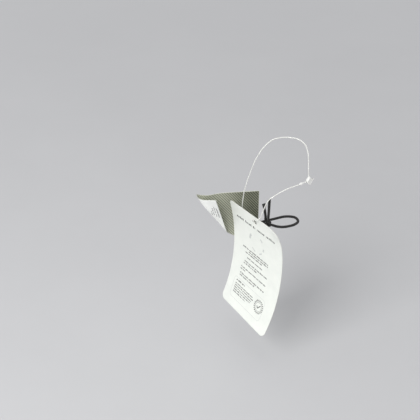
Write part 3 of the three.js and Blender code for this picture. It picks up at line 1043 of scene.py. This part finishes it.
def card_text(rng):
    """The card's print: a heading, five short paragraphs, and a block of fine print.

    Each paragraph is (height of its first line, (start, length) of each line).
    """
    along = (1, 0)
    heading_size, body_size, title_size, fine_size = 0.0023, 0.0012, 0.0013, 0.001
    heading = print_line(
        rng, (-0.0268, -0.0088), along, 0.052, heading_size, letter_gap=0.3, word_gap=0.8
    )
    body = []
    paragraphs = [
        (-0.0372, [(-0.0205, 0.0365), (-0.012, 0.0275), (-0.0165, 0.024)]),
        (-0.0462, [(-0.0135, 0.0225)]),
        (-0.0508, [(-0.0168, 0.0328), (-0.0175, 0.0195)]),
        (-0.0582, [(-0.0203, 0.0363), (-0.0205, 0.0075)]),
        (-0.0646, [(-0.0200, 0.0365), (-0.0200, 0.0230)]),
    ]
    line_gap = 0.0023
    for top, lines in paragraphs:
        for k, (start, length) in enumerate(lines):
            body += print_line(rng, (start, top - k * line_gap), along, length, body_size)
    fine = print_line(rng, (-0.0222, -0.0737), along, 0.0125, title_size, tall_share=0.6)
    fine_left, fine_top, fine_gap = -0.0226, -0.0768, 0.0021
    fine_lengths = (0.0275, 0.0285, 0.0268, 0.0255, 0.0195)
    for k, length in enumerate(fine_lengths):
        fine += print_line(rng, (fine_left, fine_top - k * fine_gap), along, length, fine_size)
    return heading, body, fine


def card_frame_lines():
    """A rounded ruled frame round the fine print."""
    low, high = Vector((-0.0255, -0.0905)), Vector((0.0212, -0.0706))
    corner_radius, line_width, step = 0.0032, 0.00028, 0.002
    corners = [low, Vector((high.x, low.y)), high, Vector((low.x, high.y))]
    outline = rounded_outline(corners, [corner_radius] * 4, step)
    return [(outline + outline[:1], line_width)]


def card_seal():
    """A toothed round seal with a plain tick in it."""
    centre = Vector((0.0146, -0.0792))
    rings = ((0.0052, 0.00035), (0.0040, 0.00025))
    strips = [arc_strip(centre, radius, 0, 2 * math.pi, width, pieces=40) for radius, width in rings]
    teeth, tooth_width = 20, 0.00065
    tooth_root, tooth_tip = 0.0053, 0.0065
    for k in range(teeth):
        outward = ray(2 * math.pi * k / teeth)
        strips.append(([centre + outward * tooth_root, centre + outward * tooth_tip], tooth_width))
    tick_width = 0.0008
    tick_strokes = (((-0.0022, 0.0002), (-0.0006, -0.0018)), ((-0.0008, -0.0018), (0.0023, 0.002)))
    for start, end in tick_strokes:
        strips.append(straight_strip(centre + Vector(start), centre + Vector(end), tick_width))
    return strips


def card_emblem():
    """A faint plain emblem under the heading: soft arcs on a ring, as (start, sweep, width)."""
    centre = Vector((-0.001, -0.0238))
    radius = 0.0095
    arcs = (
        (2.5, 0.6, 0.0022),
        (0.6, 0.35, 0.0016),
        (5.9, 0.3, 0.0018),
        (5.1, 0.45, 0.0012),
        (4.0, 0.5, 0.0012),
    )
    return [arc_strip(centre, radius, start, sweep, width, pieces=8) for start, sweep, width in arcs]


def make_card():
    """The printed card: its sheet, and each block of print as its own raised ink."""
    rng = random.Random(11)
    half = CARD_WIDTH / 2
    top, bottom = CARD_HOLE_TO_TOP, CARD_HOLE_TO_TOP - CARD_HEIGHT
    corners = [Vector(p) for p in ((-half, bottom), (half, bottom), (half, top), (-half, top))]
    outline = rounded_outline(corners, [CARD_CORNER_RADIUS] * 4, OUTLINE_STEP)
    stock = card_stock()
    edge = paper_edge("card_edge", (0.6, 0.6, 0.54), (0.78, 0.78, 0.72))
    card = paper(
        "card_sheet", outline, Vector((0, 0)), CARD_HOLE_RADIUS, card_point,
        CARD_THICKNESS, 0, [stock, stock, edge],
    )
    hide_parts("tag_card")
    surface = CARD_THICKNESS / 2
    dark_ink = print_ink("card_ink", (0.015, 0.017, 0.015), (0.06, 0.063, 0.06))
    grey_ink = print_ink("card_ink_grey", (0.04, 0.043, 0.04), (0.11, 0.115, 0.11))
    pale_ink = print_ink("card_ink_pale", (0.5, 0.52, 0.5), (0.66, 0.68, 0.65))
    heading, body, fine = card_text(rng)
    printed = [
        print_strips("card_heading_print", heading, card_point, surface, dark_ink),
        print_strips("card_paragraph_print", body, card_point, surface, dark_ink),
        print_strips("card_fine_print", fine, card_point, surface, dark_ink),
        print_strips("card_frame_print", card_frame_lines(), card_point, surface, pale_ink),
        print_strips("card_seal_print", card_seal(), card_point, surface, grey_ink),
        print_strips("card_emblem_print", card_emblem(), card_point, surface, pale_ink),
    ]
    for piece in (card, *printed):
        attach(piece, "card")


# ---- curled leaflet

def flap_text(rng):
    """Small print on the leaflet's reverse: (start, length) of each row, all slanting the same way."""
    along = (0.857, -0.515)
    size = 0.0011
    rows = (
        ((-0.0448, 0.0390), 0.0120),
        ((-0.0466, 0.0407), 0.0145),
        ((-0.0468, 0.0429), 0.0145),
        ((-0.0446, 0.0437), 0.0110),
        ((-0.0402, 0.0431), 0.0070),
    )
    strips = []
    for start, length in rows:
        strips += print_line(rng, start, along, length, size)
    return strips


def make_leaflet():
    """The leaflet's two leaves, and the small print on its white reverse."""
    rng = random.Random(23)
    corners = [LEAF_ROLLED_CORNER, LEAF_LOWER_RIGHT, LEAF_TOP_RIGHT, LEAF_TOP_LEFT]
    corner_radii = [0.0006, 0.0008, 0.0008, 0.0006]
    outline = rounded_outline(corners, corner_radii, OUTLINE_STEP)
    white = plain_paper("leaf_white", (0.88, 0.89, 0.86), (0.81, 0.82, 0.79))
    edge = paper_edge("leaf_edge", (0.34, 0.35, 0.28), (0.5, 0.51, 0.43))
    offset = (LEAF_THICKNESS + LEAF_GAP) / 2
    cover = paper(
        "leaflet_cover_sheet", outline, LEAF_HOLE, LEAF_HOLE_RADIUS, leaf_point,
        LEAF_THICKNESS, offset, [olive_weave(), white, edge],
    )
    backing = paper(
        "leaflet_backing_sheet", outline, LEAF_HOLE, LEAF_HOLE_RADIUS, leaf_point,
        LEAF_THICKNESS, -offset, [white, white, edge],
    )
    ink = print_ink("leaf_ink", (0.27, 0.27, 0.27), (0.45, 0.45, 0.45))
    surface = offset + LEAF_THICKNESS / 2
    text = print_strips("leaflet_reverse_print", flap_text(rng), leaf_point, surface, ink, side=-1)
    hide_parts("leaflet_cover")
    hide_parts("leaflet_backing")
    for piece, slot in ((cover, "olive_paper"), (backing, "white_paper"), (text, "white_paper")):
        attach(piece, "leaflet")


# ---- studio

def make_floor():
    """A plain square floor."""
    half = 6.0
    corners = ((-half, -half), (half, -half), (half, half), (-half, half))
    mesh = new_mesh("floor", [(x, y, FLOOR_HEIGHT) for x, y in corners], [(0, 1, 2, 3)])
    new_piece("floor", mesh, [pale_floor()])


def add_softbox(name, place, target, size, energy):
    """A square area light pointed at a target, size in metres and energy in watts."""
    data = bpy.data.lights.new(name, "AREA")
    data.size, data.energy = size, energy
    light = bpy.data.objects.new(name, data)
    light.location = place
    towards = Vector(target) - Vector(place)
    light.rotation_mode = "QUATERNION"
    light.rotation_quaternion = towards.to_track_quat("-Z", "Y")
    bpy.context.scene.collection.objects.link(light)


def make_studio():
    """Four soft lights and an even, pale surround."""
    middle = (-0.02, 0, 0)
    add_softbox("key_light", (-0.8, -0.9, 0.85), middle, size=0.9, energy=15)
    add_softbox("top_light", (0.15, 0.1, 1.5), middle, size=1.2, energy=2.5)
    add_softbox("side_fill", (1.2, -0.9, 0.5), middle, size=1.0, energy=2)
    add_softbox("low_left", (-1.3, 0.1, 0.3), middle, size=0.5, energy=0.8)
    world = bpy.data.worlds.new("studio")
    world.use_nodes = True
    background = world.node_tree.nodes["Background"]
    background.inputs["Color"].default_value = (*STUDIO_COLOUR, 1)
    background.inputs["Strength"].default_value = STUDIO_STRENGTH
    bpy.context.scene.world = world
    bpy.context.scene.view_settings.view_transform = "Standard"


# ---- the scene

place_camera()
make_loop()
make_tie()
make_card()
make_leaflet()
make_floor()
make_studio()
